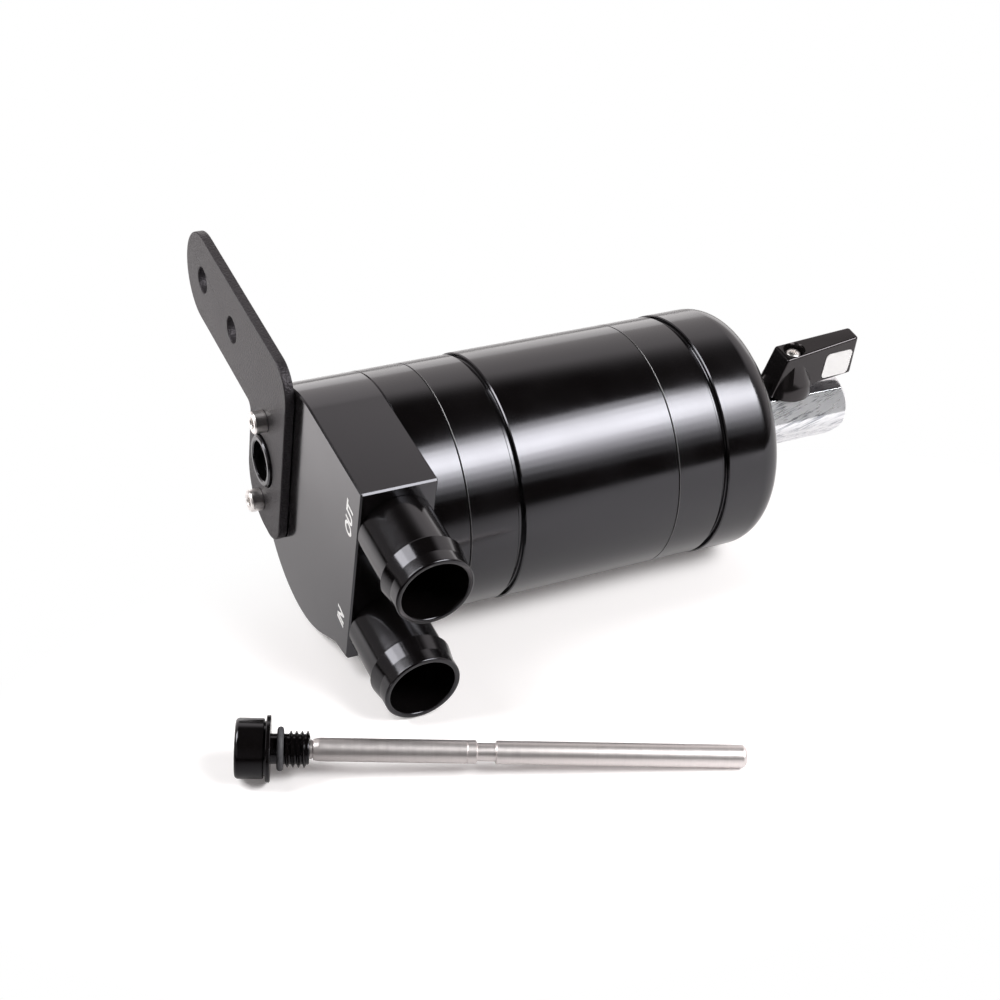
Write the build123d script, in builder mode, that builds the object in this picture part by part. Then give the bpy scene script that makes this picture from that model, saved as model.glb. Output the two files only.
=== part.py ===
from build123d import *
from math import acos, asin, atan2, cos, degrees, hypot, sin, sqrt
import os

# Oil catch can, lying on its side along X with its hose tails towards -Y. Millimetres, +Z up.
# Lengths "x" are measured along the can from the head's outer face, towards the drain valve.
# "u" runs out of the head's front face, the way the tails point, and "v" runs up that face.

# Place of the can: the outer face of the head and the can's axis
head_x = -71.65
axis_y = 12.56

# Outer radius of the can, with each turned section a little larger than the one before
can_r = 38.0
turned_step = 0.3
can_wall = 3.5

# Lengths along the can
head_len = 22.8
collar_len = 14.3
tube_len = 69.3
cap_len = 38.4
band_len = 15.4

# Turned details of tube and cap
groove_w = 1.8
groove_depth = 1.3
seam_chamfer = 0.3
cap_edge_r = 8.4
cap_floor = 7.8
cap_corner_r = 5.0

# Screwed joints: a spigot with a seal, inside a bore
spigot_wall = 3.0
spigot_len = 8.2
thread_gap = 0.1
seal_section = 1.5
seal_gap = 0.03
seal_groove_w = 2.2
seal_setback = 2.2

# Head block, its lip under the lower tail
front_proud = 0.65
lip_drop = 10.8
lip_slope = 1.7
lip_root_out = 1.755
lip_fillet = 2.0
ceiling = 9.0
face_chamfer = 0.6
rear_chamfer = 0.4
corner_chamfer = 0.5

# Dipstick port in the head, close to the inner wall
port_inset = 4.7
port_v = -1.1
boss_r = 8.05
boss_proud = 1.0
boss_chamfer = 0.4
port_seat_r = 6.25
port_seat_depth = 3.6
port_thread_r = 4.25

# Hose tails
tail_x = 11.4
tail_from_top = 14.5
tail_pitch = 37.2
tail_root_r = 10.9
tail_bead_r = 12.25
tail_nose_r = 11.6
tail_ramp_start = 13.4
tail_bead_start = 17.2
tail_bead_end = 19.5
tail_nose_start = 23.4
tail_len = 27.5
tail_rim_r = 0.6
tail_bore_r = 9.73
tail_shank_r = 9.0
tail_shank_len = 10.0
tail_shank_bore_r = 7.5
tail_bore_step = 3.0
tail_bore_cone = 2.5
tail_hole_depth = 19.0
tail_seal_section = 1.3
tail_seal_depth = 1.4

# Bracket plate, its edges and holes measured from the port
bracket_t = 3.0
bracket_inboard = 15.8
bracket_outboard = 12.0
bracket_low = -24.3
arm_top = 41.2
arm_low = 11.6
mount_near = 30.8
mount_pitch = 27.7
arm_end = 1.0
mount_hole_r = 4.2
shoulder_r = 10.3
heel_r = 16.0
toe_r = 8.0
inner_r = 3.0
bracket_edge = 0.3
boss_hole_gap = 0.35

# Socket cap screws of the bracket
screw_offset = 15.4
screw_r = 2.0
screw_len = 8.0
screw_head_r = 3.5
screw_head_h = 4.0
screw_head_edge = 0.4
screw_socket = 3.0
screw_socket_depth = 2.0
screw_hole_gap = 0.05
screw_clearance = 0.25
screw_hole_spare = 1.2

# Baffle plate
baffle_t = 1.0
baffle_gap = 0.2
baffle_hole_r = 2.2
baffle_rod_pitch = 9.8
baffle_ring_pitch = 8.0
baffle_inner_count = 6
baffle_outer_count = 12
baffle_rod_gap = 1.0

# Dipstick, lying on the floor on its flange and the tip of its rod
dip_face_x = -35.7
dip_face_y = -67.15
dip_heading = -22.3
knob_r = 8.15
knob_len = 7.7
knob_edge_r = 1.1
knob_relief_r = 7.4
knob_relief_w = 0.5
flange_r = 9.0
flange_t = 1.2
flange_edge = 0.2
neck_r = 4.1
neck_len = 3.6
dip_seal_section = 1.9
dip_thread_r = 4.95
dip_thread_len = 6.8
dip_thread_chamfer = 0.7
undercut_r = 2.95
undercut_len = 0.8
rod_r = 3.18
rod_end = 129.4
rod_lead = 1.2
rod_lead_r = 2.75
rod_chamfer = 1.0
rod_tenon_r = 2.0
rod_tenon_len = 6.0
rod_tenon_gap = 0.03
mark_start = 55.1
mark_end = 60.7
mark_depth = 0.7
mark_slope = 0.6
scribe_at = 52.7
scribe_w = 0.4
scribe_depth = 0.15

# Drain ball valve on the can's axis
washer_t = 1.5
washer_r = 8.0
nipple_r = 4.86
nipple_gap = 0.04
hex_across = 19.0
hex_end_r = 9.3
hex_bevel = 1.6
valve_collar_len = 3.7
valve_collar_r = 7.2
valve_len = 38.0
flow_r = 2.6
stem_back = 20.9
ball_r = 4.6
ball_gap = 0.15
seat_near = 2.6
seat_far = 5.6
chamber_r = 5.6
seat_gap = 0.05
nut_gap = 0.05
nut_inset = 0.4
nut_web = 2.0
outlet_r = 4.28

# Stem, lever and its screw, with heights from the valve's axis
stem_r = 2.5
stem_gap = 0.05
stem_top = 19.5
stem_foot = 4.7
tang_t = 1.9
tang_w = 4.2
tang_gap = 0.05
tang_foot = 3.3
stem_seal_at = 7.3
stem_seal_section = 0.72
stem_seal_groove_w = 1.0
lever_gap = 0.3
lever_root_half = 4.3
lever_tip_half = 3.0
lever_root_x = -4.7
lever_root_z = 24.4
lever_tip_x = 22.7
lever_tip_z = 27.4
lever_tip_low_x = 23.4
lever_tip_low_z = 12.9
lever_low_x = 8.8
lever_low_z = 11.8
lever_toe_x = -8.3
lever_edge = 0.5
hub_r = 8.5
hub_skirt = 3.0
hub_peak_r = 3.8
hub_peak_z = 22.0
lever_socket_gap = 0.02
lever_screw_r = 1.5
lever_screw_len = 6.0
lever_screw_head_r = 2.6
lever_screw_head_h = 1.7
lever_screw_seat_z = 22.0
lever_counterbore_r = 3.5
cross_w = 0.8
cross_len = 2.6
cross_depth = 0.9

# White square on the lever
label_t = 0.2
label_w = 10.9
label_h = 9.5
label_centre_x = 16.4
label_centre_z = 18.3
label_corner_r = 0.8

# Derived radii of the can
tube_r = can_r + turned_step
cap_r = tube_r + turned_step
bore_r = can_r - can_wall
spigot_inner_r = bore_r - spigot_wall

# Derived places on the head's face
front_face = can_r + front_proud
tail_out_v = can_r - tail_from_top
tail_in_v = tail_out_v - tail_pitch
lip_v = tail_in_v - lip_drop
lip_root_v = lip_v - lip_slope
lip_root_u = sqrt((can_r + lip_root_out) ** 2 - lip_root_v**2)
port_u = port_inset - spigot_inner_r
bracket_right = port_u + bracket_inboard
bracket_left = port_u - bracket_outboard
mount_near_u = port_u - mount_near
mount_far_u = mount_near_u - mount_pitch
arm_end_u = mount_far_u - arm_end
baffle_outer_ring = -port_u - baffle_rod_pitch
baffle_inner_ring = baffle_outer_ring - baffle_ring_pitch

# Derived places along the can
collar_end = head_len + collar_len
tube_end = collar_end + tube_len
cap_end = tube_end + cap_len
baffle_x = head_len + spigot_len
shoulder_x = baffle_x + baffle_t
spigot_r = bore_r - thread_gap
seal_floor_r = bore_r - seal_section
boss_h = bracket_t + boss_proud
axis_z = cap_r

# The can rolls forward until the nose of the lower tail meets the floor
tip_u = front_face + tail_len
tip_drop = tail_nose_r - tail_in_v
roll = asin(axis_z / hypot(tip_u, tip_drop)) - atan2(tip_drop, tip_u)
front = Vector(0, -cos(roll), -sin(roll))
upward = Vector(0, -sin(roll), cos(roll))

can_axis = Axis((head_x, axis_y, axis_z), (1, 0, 0))
face_plane = Plane(origin=(head_x, axis_y, axis_z), x_dir=front, z_dir=(-1, 0, 0))
turn_plane = Plane(origin=(head_x, axis_y, axis_z), x_dir=(1, 0, 0), z_dir=(0, -1, 0))

os.makedirs("parts", exist_ok=True)


def finish(piece, name):
    """Label a finished piece and write it."""
    piece.part.label = name
    export_step(piece.part, f"parts/{name}.step")


def near(shapes, point):
    """The edge or vertex nearest to a point."""
    return shapes.sort_by_distance(Vector(*point))[0]


# Seals of the three screwed joints: where each ring lies along the can
head_seal_x = head_len + seal_setback
tube_seal_x = collar_end + seal_setback
cap_seal_x = tube_end - seal_setback


def seal_groove(x):
    """Section of a seal's groove, cut into a spigot at a place along the can."""
    with BuildSketch(turn_plane) as groove:
        with Locations((x, (seal_floor_r + bore_r) / 2)):
            Rectangle(seal_groove_w, seal_section)
    return groove.sketch


def seal_ring(name, x):
    """A round rubber ring in its groove, between the spigot and the bore."""
    with BuildPart() as ring:
        with BuildSketch(turn_plane):
            with Locations((x, (seal_floor_r + bore_r) / 2)):
                Circle(seal_section / 2 - seal_gap)
        revolve(axis=can_axis)
    finish(ring, name)


# Head: a round back, a flat top and a front face that carries the tails, hollowed from below
def tail_plane(v):
    """Plane along a hose tail: local x runs out of the front face from the tail's root."""
    return Plane(
        origin=face_plane.from_local_coords((front_face, v, -tail_x)),
        x_dir=front,
        z_dir=(-1, 0, 0),
    )


def tail_axis(v):
    """Centre line of a hose tail."""
    return Axis(tail_plane(v).origin, front)


screw_places = [(port_u, port_v + screw_offset), (port_u, port_v - screw_offset)]
lip_angle = atan2(lip_root_v, lip_root_u) - acos(can_r / hypot(lip_root_u, lip_root_v))

with BuildPart() as head:
    with BuildSketch(face_plane):
        Circle(can_r)
        with BuildLine():
            Polyline(
                (0, 0),
                (can_r * cos(lip_angle), can_r * sin(lip_angle)),
                (lip_root_u, lip_root_v),
                (front_face, lip_v),
                (front_face, can_r),
                (0, can_r),
                close=True,
            )
        make_face()
    extrude(amount=-head_len)
    lip_edge = face_plane.from_local_coords((lip_root_u, lip_root_v, -head_len / 2))
    fillet(near(head.edges().filter_by(Axis.X), lip_edge), lip_fillet)
    top_corner = face_plane.from_local_coords((front_face, can_r, -head_len / 2))
    chamfer(near(head.edges().filter_by(Axis.X), top_corner), corner_chamfer)
    chamfer(head.faces().sort_by(Axis.X)[0].edges(), face_chamfer)
    chamfer(head.faces().sort_by(Axis.X)[-1].edges(), rear_chamfer)
    with BuildSketch(face_plane.offset(-head_len)):
        Circle(spigot_r)
    extrude(amount=-spigot_len)
    with BuildSketch(face_plane.offset(-baffle_x)):
        Circle(spigot_inner_r)
    extrude(amount=baffle_x - ceiling, mode=Mode.SUBTRACT)
    revolve(seal_groove(head_seal_x), axis=can_axis, mode=Mode.SUBTRACT)
    with BuildSketch(face_plane):
        with Locations((port_u, port_v)):
            Circle(boss_r)
    extrude(amount=boss_h)
    chamfer(head.edges().group_by(Axis.X)[0], boss_chamfer)
    with Locations(face_plane.offset(boss_h)):
        with Locations((port_u, port_v)):
            CounterBoreHole(port_thread_r, port_seat_r, port_seat_depth, depth=boss_h + ceiling)
    with Locations(face_plane):
        with Locations(*screw_places):
            Hole(screw_r + screw_hole_gap, depth=screw_len - bracket_t + screw_hole_spare)
    for v in (tail_out_v, tail_in_v):
        with BuildSketch(tail_plane(v)):
            Rectangle(tail_hole_depth, tail_shank_r + screw_hole_gap, align=(Align.MAX, Align.MIN))
            Rectangle(
                tail_seal_depth,
                tail_shank_r + tail_seal_section + 2 * seal_gap,
                align=(Align.MAX, Align.MIN),
            )
        revolve(axis=tail_axis(v), mode=Mode.SUBTRACT)
finish(head, "head")
seal_ring("head_o_ring", head_seal_x)

# Collar: a ring that takes the head's spigot from above and carries its own spigot below
with BuildPart() as upper_collar:
    with BuildSketch(turn_plane) as collar_profile:
        with BuildLine():
            Polyline(
                (head_len, bore_r),
                (head_len, can_r),
                (collar_end, can_r),
                (collar_end, spigot_r),
                (collar_end + spigot_len, spigot_r),
                (collar_end + spigot_len, spigot_inner_r),
                (shoulder_x, spigot_inner_r),
                (shoulder_x, bore_r),
                close=True,
            )
        make_face()
        for x in (head_len, collar_end):
            chamfer(near(collar_profile.vertices(), (x, can_r)), seam_chamfer)
    revolve(axis=can_axis)
    revolve(seal_groove(tube_seal_x), axis=can_axis, mode=Mode.SUBTRACT)
finish(upper_collar, "upper_collar")
seal_ring("tube_o_ring", tube_seal_x)

# Baffle: a perforated disc held between the head's spigot and the collar's shoulder
with BuildPart() as baffle_plate:
    with BuildSketch(face_plane.offset(-baffle_x)):
        Circle(bore_r - baffle_gap)
        with PolarLocations(baffle_inner_ring, baffle_inner_count):
            Circle(baffle_hole_r, mode=Mode.SUBTRACT)
        with PolarLocations(baffle_outer_ring, baffle_outer_count):
            Circle(baffle_hole_r, mode=Mode.SUBTRACT)
        with Locations((port_u, port_v)):
            Circle(rod_r + baffle_rod_gap, mode=Mode.SUBTRACT)
    extrude(amount=-baffle_t)
finish(baffle_plate, "baffle_plate")

# Tube: a band, a groove and the main length, turned from one piece
tube_groove_x = collar_end + band_len

with BuildPart() as body_tube:
    with BuildSketch(turn_plane) as tube_profile:
        with BuildLine():
            Polyline(
                (collar_end, bore_r),
                (collar_end, can_r),
                (tube_groove_x, can_r),
                (tube_groove_x, can_r - groove_depth),
                (tube_groove_x + groove_w, can_r - groove_depth),
                (tube_groove_x + groove_w, tube_r),
                (tube_end, tube_r),
                (tube_end, bore_r),
                close=True,
            )
        make_face()
        for corner in (
            (collar_end, can_r),
            (tube_groove_x, can_r),
            (tube_groove_x + groove_w, tube_r),
            (tube_end, tube_r),
        ):
            chamfer(near(tube_profile.vertices(), corner), seam_chamfer)
    revolve(axis=can_axis)
finish(body_tube, "body_tube")
seal_ring("cap_o_ring", cap_seal_x)

# End cap: a cup with a spigot, a band, a groove and a large rounded edge, drilled for the drain
cap_groove_x = tube_end + band_len
cap_floor_x = cap_end - cap_floor
drain_hole_r = nipple_r + nipple_gap

with BuildPart() as end_cap:
    with BuildSketch(turn_plane) as cap_profile:
        with BuildLine():
            Polyline(
                (tube_end - spigot_len, spigot_inner_r),
                (tube_end - spigot_len, spigot_r),
                (tube_end, spigot_r),
                (tube_end, tube_r),
                (cap_groove_x, tube_r),
                (cap_groove_x, tube_r - groove_depth),
                (cap_groove_x + groove_w, tube_r - groove_depth),
                (cap_groove_x + groove_w, cap_r),
                (cap_end, cap_r),
                (cap_end, drain_hole_r),
                (cap_floor_x, drain_hole_r),
                (cap_floor_x, spigot_inner_r),
                close=True,
            )
        make_face()
        fillet(near(cap_profile.vertices(), (cap_end, cap_r)), cap_edge_r)
        fillet(near(cap_profile.vertices(), (cap_floor_x, spigot_inner_r)), cap_corner_r)
        for corner in (
            (tube_end, tube_r),
            (cap_groove_x, tube_r),
            (cap_groove_x + groove_w, cap_r),
        ):
            chamfer(near(cap_profile.vertices(), corner), seam_chamfer)
    revolve(axis=can_axis)
    revolve(seal_groove(cap_seal_x), axis=can_axis, mode=Mode.SUBTRACT)
finish(end_cap, "end_cap")


# Hose tails: turned tubes with a bead, screwed into the front face on a seal
def hose_tail(name, v):
    """One hose tail, its profile drawn outwards from the front face."""
    with BuildPart() as tail:
        with BuildSketch(tail_plane(v)) as profile:
            with BuildLine():
                Polyline(
                    (-tail_shank_len, tail_shank_bore_r),
                    (-tail_shank_len, tail_shank_r),
                    (0, tail_shank_r),
                    (0, tail_root_r),
                    (tail_ramp_start, tail_root_r),
                    (tail_bead_start, tail_bead_r),
                    (tail_bead_end, tail_bead_r),
                    (tail_nose_start, tail_nose_r),
                    (tail_len, tail_nose_r),
                    (tail_len, tail_bore_r),
                    (tail_bore_step + tail_bore_cone, tail_bore_r),
                    (tail_bore_step, tail_shank_bore_r),
                    close=True,
                )
            make_face()
            fillet(near(profile.vertices(), (tail_len, tail_nose_r)), tail_rim_r)
            fillet(near(profile.vertices(), (tail_len, tail_bore_r)), tail_rim_r)
        revolve(axis=tail_axis(v))
    finish(tail, name)


hose_tail("hose_tail_out", tail_out_v)
hose_tail("hose_tail_in", tail_in_v)

with BuildPart() as hose_tail_o_rings:
    for v in (tail_out_v, tail_in_v):
        with BuildSketch(tail_plane(v)):
            with Locations((-tail_seal_depth / 2, tail_shank_r + tail_seal_section / 2 + seal_gap)):
                Circle(tail_seal_section / 2)
        revolve(axis=tail_axis(v))
finish(hose_tail_o_rings, "hose_tail_o_rings")

# Bracket: a flat dog-leg plate over the port boss, with a full-round arm and two holes
arm_mid = (arm_top + arm_low) / 2
arm_half = (arm_top - arm_low) / 2

with BuildPart() as bracket:
    with BuildSketch(face_plane) as plate:
        with Locations(((bracket_left + bracket_right) / 2, (arm_top + bracket_low) / 2)):
            Rectangle(bracket_right - bracket_left, arm_top - bracket_low)
        with Locations(((arm_end_u + bracket_right) / 2, arm_mid)):
            Rectangle(bracket_right - arm_end_u, arm_top - arm_low)
        with Locations((arm_end_u, arm_mid)):
            Circle(arm_half)
        fillet(near(plate.vertices(), (bracket_right, arm_top)), shoulder_r)
        fillet(near(plate.vertices(), (bracket_left, bracket_low)), heel_r)
        fillet(near(plate.vertices(), (bracket_right, bracket_low)), toe_r)
        fillet(near(plate.vertices(), (bracket_left, arm_low)), inner_r)
        with Locations((mount_near_u, arm_mid), (mount_far_u, arm_mid)):
            Circle(mount_hole_r, mode=Mode.SUBTRACT)
        with Locations(*screw_places):
            Circle(screw_r + screw_clearance, mode=Mode.SUBTRACT)
        with Locations((port_u, port_v)):
            Circle(boss_r + boss_hole_gap, mode=Mode.SUBTRACT)
    extrude(amount=bracket_t)
    chamfer(bracket.faces().sort_by(Axis.X)[0].outer_wire().edges(), bracket_edge)
    chamfer(bracket.faces().sort_by(Axis.X)[-1].outer_wire().edges(), bracket_edge)
finish(bracket, "bracket")

# Two socket cap screws hold the bracket to the head
seat_plane = face_plane.offset(bracket_t)
screw_top = face_plane.offset(bracket_t + screw_head_h)

with BuildPart() as bracket_screws:
    with BuildSketch(seat_plane):
        with Locations(*screw_places):
            Circle(screw_head_r)
    extrude(amount=screw_head_h)
    chamfer(bracket_screws.edges().group_by(Axis.X)[0], screw_head_edge)
    with BuildSketch(seat_plane):
        with Locations(*screw_places):
            Circle(screw_r)
    extrude(amount=-screw_len)
    with BuildSketch(screw_top):
        with Locations(*screw_places):
            RegularPolygon(screw_socket / 2, 6, major_radius=False)
    extrude(amount=-screw_socket_depth, mode=Mode.SUBTRACT)
finish(bracket_screws, "bracket_screws")

# Dipstick: local x runs from the flange's face along the rod, down to the tip on the floor
slope = atan2(flange_r - rod_r, rod_end - rod_chamfer)
face_height = flange_r * cos(slope)
dip_place = Location((head_x + dip_face_x, axis_y + dip_face_y, face_height))
dip_turn = Location((0, 0, 0), (0, degrees(slope), 0))
dip_head = Location((0, 0, 0), (0, 0, dip_heading))
dip_plane = Plane(dip_place * dip_head * dip_turn * Plane.XZ.location)
dip_axis = Axis(dip_plane.origin, dip_plane.x_dir)
thread_end = neck_len + dip_thread_len
rod_start = thread_end + undercut_len

with BuildPart() as dipstick_cap:
    knob_end = -flange_t - knob_relief_w - knob_len
    with BuildSketch(dip_plane) as cap_outline:
        with BuildLine():
            Polyline(
                (knob_end, 0),
                (knob_end, knob_r),
                (-flange_t - knob_relief_w, knob_r),
                (-flange_t - knob_relief_w, knob_relief_r),
                (-flange_t, knob_relief_r),
                (-flange_t, flange_r),
                (0, flange_r),
                (0, neck_r),
                (neck_len, neck_r),
                (neck_len, dip_thread_r),
                (thread_end, dip_thread_r),
                (thread_end, undercut_r),
                (rod_start, undercut_r),
                (rod_start, rod_tenon_r + rod_tenon_gap),
                (rod_start - rod_tenon_len, rod_tenon_r + rod_tenon_gap),
                (rod_start - rod_tenon_len, 0),
                close=True,
            )
        make_face()
        fillet(near(cap_outline.vertices(), (knob_end, knob_r)), knob_edge_r)
        chamfer(near(cap_outline.vertices(), (-flange_t - knob_relief_w, knob_r)), flange_edge)
        chamfer(near(cap_outline.vertices(), (-flange_t, flange_r)), flange_edge)
        chamfer(near(cap_outline.vertices(), (neck_len, dip_thread_r)), flange_edge)
        chamfer(near(cap_outline.vertices(), (thread_end, dip_thread_r)), dip_thread_chamfer)
    revolve(axis=dip_axis)
finish(dipstick_cap, "dipstick_cap")

with BuildPart() as dipstick_o_ring:
    with BuildSketch(dip_plane):
        with Locations((neck_len - dip_seal_section / 2 - seal_gap, neck_r + dip_seal_section / 2)):
            Circle(dip_seal_section / 2 - seal_gap)
    revolve(axis=dip_axis)
finish(dipstick_o_ring, "dipstick_o_ring")

with BuildPart() as dipstick_rod:
    with BuildSketch(dip_plane) as rod_outline:
        with BuildLine():
            Polyline(
                (rod_start - rod_tenon_len, 0),
                (rod_start - rod_tenon_len, rod_tenon_r),
                (rod_start, rod_tenon_r),
                (rod_start, rod_lead_r),
                (rod_start + rod_lead, rod_r),
                (scribe_at - scribe_w / 2, rod_r),
                (scribe_at, rod_r - scribe_depth),
                (scribe_at + scribe_w / 2, rod_r),
                (mark_start, rod_r),
                (mark_start + mark_slope, rod_r - mark_depth),
                (mark_end - mark_slope, rod_r - mark_depth),
                (mark_end, rod_r),
                (rod_end, rod_r),
                (rod_end, 0),
                close=True,
            )
        make_face()
        chamfer(near(rod_outline.vertices(), (rod_end, rod_r)), rod_chamfer)
    revolve(axis=dip_axis)
finish(dipstick_rod, "dipstick_rod")

# Drain valve: a bevelled hexagon body, screwed into the cap on a washer, its stem upward
valve_face = cap_end + washer_t
body_start = valve_face + valve_collar_len
valve_end = body_start + valve_len
stem_x = valve_end - stem_back
seat_stop = stem_x - seat_far
nut_start = stem_x + seat_far
nut_end = valve_end - nut_inset
section_plane = Plane(origin=(head_x, axis_y, axis_z), x_dir=-front, z_dir=(1, 0, 0))
stem_plane = Plane(origin=(head_x + stem_x, axis_y, axis_z), x_dir=(1, 0, 0), z_dir=upward)
stem_axis = Axis(stem_plane.origin, upward)
lever_plane = Plane(origin=stem_plane.origin, x_dir=(1, 0, 0), z_dir=front)
valve_top = hex_across / 2
hex_corner_r = hex_across / sqrt(3)

with BuildPart() as drain_washer:
    with BuildSketch(section_plane.offset(cap_end)):
        Circle(washer_r)
        Circle(drain_hole_r, mode=Mode.SUBTRACT)
    extrude(amount=washer_t)
finish(drain_washer, "drain_washer")

with BuildPart() as valve_body:
    with BuildSketch(section_plane.offset(body_start)):
        RegularPolygon(hex_corner_r, 6)
    extrude(amount=valve_len)
    with BuildSketch(turn_plane):
        with BuildLine():
            Polyline(
                (body_start, 0),
                (body_start, hex_end_r),
                (body_start + hex_bevel, hex_corner_r),
                (valve_end - hex_bevel, hex_corner_r),
                (valve_end, hex_end_r),
                (valve_end, 0),
                close=True,
            )
        make_face()
    revolve(axis=can_axis, mode=Mode.INTERSECT)
    with BuildSketch(section_plane.offset(valve_face)):
        Circle(valve_collar_r)
    extrude(amount=valve_collar_len)
    with BuildSketch(section_plane.offset(cap_floor_x)):
        Circle(nipple_r)
    extrude(amount=valve_face - cap_floor_x)
    with BuildSketch(section_plane.offset(cap_floor_x)):
        Circle(flow_r)
    extrude(amount=valve_end - cap_floor_x, mode=Mode.SUBTRACT)
    with BuildSketch(section_plane.offset(seat_stop)):
        Circle(chamber_r)
    extrude(amount=valve_end - seat_stop, mode=Mode.SUBTRACT)
    with BuildSketch(stem_plane):
        Circle(stem_r + stem_gap)
    extrude(amount=valve_top, mode=Mode.SUBTRACT)
finish(valve_body, "valve_body")

with BuildPart() as valve_end_nut:
    with BuildSketch(section_plane.offset(nut_start)):
        Circle(chamber_r - nut_gap)
        Circle(flow_r, mode=Mode.SUBTRACT)
    extrude(amount=nut_end - nut_start)
    with BuildSketch(section_plane.offset(nut_start + nut_web)):
        Circle(outlet_r)
    extrude(amount=nut_end - nut_start - nut_web, mode=Mode.SUBTRACT)
finish(valve_end_nut, "valve_end_nut")

with BuildPart() as valve_seats:
    with BuildSketch(lever_plane):
        for side in (-1, 1):
            with Locations((side * (seat_near + seat_far) / 2, (flow_r + chamber_r - seat_gap) / 2)):
                Rectangle(seat_far - seat_near, chamber_r - seat_gap - flow_r)
        Circle(ball_r + ball_gap, mode=Mode.SUBTRACT)
    revolve(axis=can_axis)
finish(valve_seats, "valve_seats")

# Ball, stem and lever turn together about the stem
with BuildPart() as valve_ball:
    with BuildSketch(lever_plane):
        Circle(ball_r)
        with Locations((0, flow_r)):
            Rectangle(2 * ball_r, ball_r + flow_r, align=(Align.CENTER, Align.MAX), mode=Mode.SUBTRACT)
    revolve(axis=can_axis)
    with BuildSketch(stem_plane.offset(tang_foot)):
        Rectangle(2 * ball_r, tang_t + 2 * tang_gap)
    extrude(amount=ball_r, mode=Mode.SUBTRACT)
finish(valve_ball, "valve_ball")

with BuildPart() as valve_stem:
    with BuildSketch(stem_plane.offset(stem_foot)):
        Circle(stem_r)
    extrude(amount=stem_top - stem_foot)
    with BuildSketch(stem_plane.offset(tang_foot + tang_gap)):
        Rectangle(tang_w, tang_t)
    extrude(amount=stem_foot - tang_foot - tang_gap)
    with BuildSketch(lever_plane):
        with Locations((stem_r, stem_seal_at)):
            Rectangle(2 * stem_seal_section, stem_seal_groove_w)
    revolve(axis=stem_axis, mode=Mode.SUBTRACT)
    with Locations(stem_plane.offset(stem_top)):
        Hole(lever_screw_r + screw_hole_gap, depth=lever_screw_len)
finish(valve_stem, "valve_stem")

with BuildPart() as valve_stem_seal:
    with BuildSketch(lever_plane):
        with Locations((stem_r - stem_seal_section / 2, stem_seal_at)):
            Circle(stem_seal_section / 2 - seal_gap)
    revolve(axis=stem_axis)
finish(valve_stem_seal, "valve_stem_seal")

lever_foot = valve_top + lever_gap
lever_run = lever_tip_x - lever_root_x
lever_taper = (lever_root_half - lever_tip_half) / lever_run
lever_toe_half = lever_root_half + lever_taper * (lever_root_x - lever_toe_x)
lever_end_half = lever_tip_half - lever_taper * (lever_tip_low_x - lever_tip_x)
seat_z_plane = stem_plane.offset(lever_screw_seat_z)

with BuildPart() as valve_handle:
    with BuildSketch(lever_plane):
        with BuildLine():
            Polyline(
                (lever_root_x, lever_root_z),
                (lever_tip_x, lever_tip_z),
                (lever_tip_low_x, lever_tip_low_z),
                (lever_low_x, lever_low_z),
                (lever_low_x, lever_foot),
                (lever_toe_x, lever_foot),
                close=True,
            )
        make_face()
    extrude(amount=lever_toe_half, both=True)
    with BuildSketch(stem_plane):
        with BuildLine():
            Polyline(
                (lever_toe_x, lever_toe_half),
                (lever_tip_low_x, lever_end_half),
                (lever_tip_low_x, -lever_end_half),
                (lever_toe_x, -lever_toe_half),
                close=True,
            )
        make_face()
    extrude(amount=lever_tip_z, mode=Mode.INTERSECT)
    for side in (0, -1):
        chamfer(valve_handle.faces().sort_by(Axis((0, 0, 0), front))[side].edges(), lever_edge)
    with BuildSketch(lever_plane):
        with BuildLine():
            Polyline(
                (0, lever_foot),
                (hub_r, lever_foot),
                (hub_r, lever_foot + hub_skirt),
                (hub_peak_r, hub_peak_z),
                (0, hub_peak_z),
                close=True,
            )
        make_face()
    revolve(axis=stem_axis)
    with BuildSketch(stem_plane.offset(lever_foot)):
        Circle(stem_r + lever_socket_gap)
    extrude(amount=stem_top - lever_foot, mode=Mode.SUBTRACT)
    with BuildSketch(stem_plane.offset(stem_top)):
        Circle(lever_screw_r + screw_hole_gap)
    extrude(amount=lever_screw_seat_z - stem_top, mode=Mode.SUBTRACT)
    with BuildSketch(seat_z_plane):
        Circle(lever_counterbore_r)
    extrude(amount=lever_tip_z - lever_screw_seat_z, mode=Mode.SUBTRACT)
finish(valve_handle, "valve_handle")

with BuildPart() as handle_screw:
    with BuildSketch(seat_z_plane):
        Circle(lever_screw_head_r)
    extrude(amount=lever_screw_head_h)
    fillet(handle_screw.edges().group_by(stem_axis)[-1], screw_head_edge)
    with BuildSketch(seat_z_plane):
        Circle(lever_screw_r)
    extrude(amount=-lever_screw_len)
    with BuildSketch(seat_z_plane.offset(lever_screw_head_h)):
        Rectangle(cross_len, cross_w)
        Rectangle(cross_w, cross_len)
    extrude(amount=-cross_depth, mode=Mode.SUBTRACT)
finish(handle_screw, "handle_screw")

side_angle = atan2(lever_taper, 1)
side_reach = (lever_root_half + lever_taper * lever_root_x) * cos(side_angle)
side_axis = front * cos(side_angle) + Vector(1, 0, 0) * sin(side_angle)
side_plane = Plane(
    origin=stem_plane.origin + side_axis * side_reach,
    x_dir=Vector(1, 0, 0) * cos(side_angle) - front * sin(side_angle),
    z_dir=side_axis,
)

with BuildPart() as handle_label:
    with BuildSketch(side_plane):
        with Locations((label_centre_x, label_centre_z)):
            RectangleRounded(label_w, label_h, label_corner_r)
    extrude(amount=label_t)
finish(handle_label, "handle_label")
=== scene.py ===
import math

import bpy
from mathutils import Matrix, Vector


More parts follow.
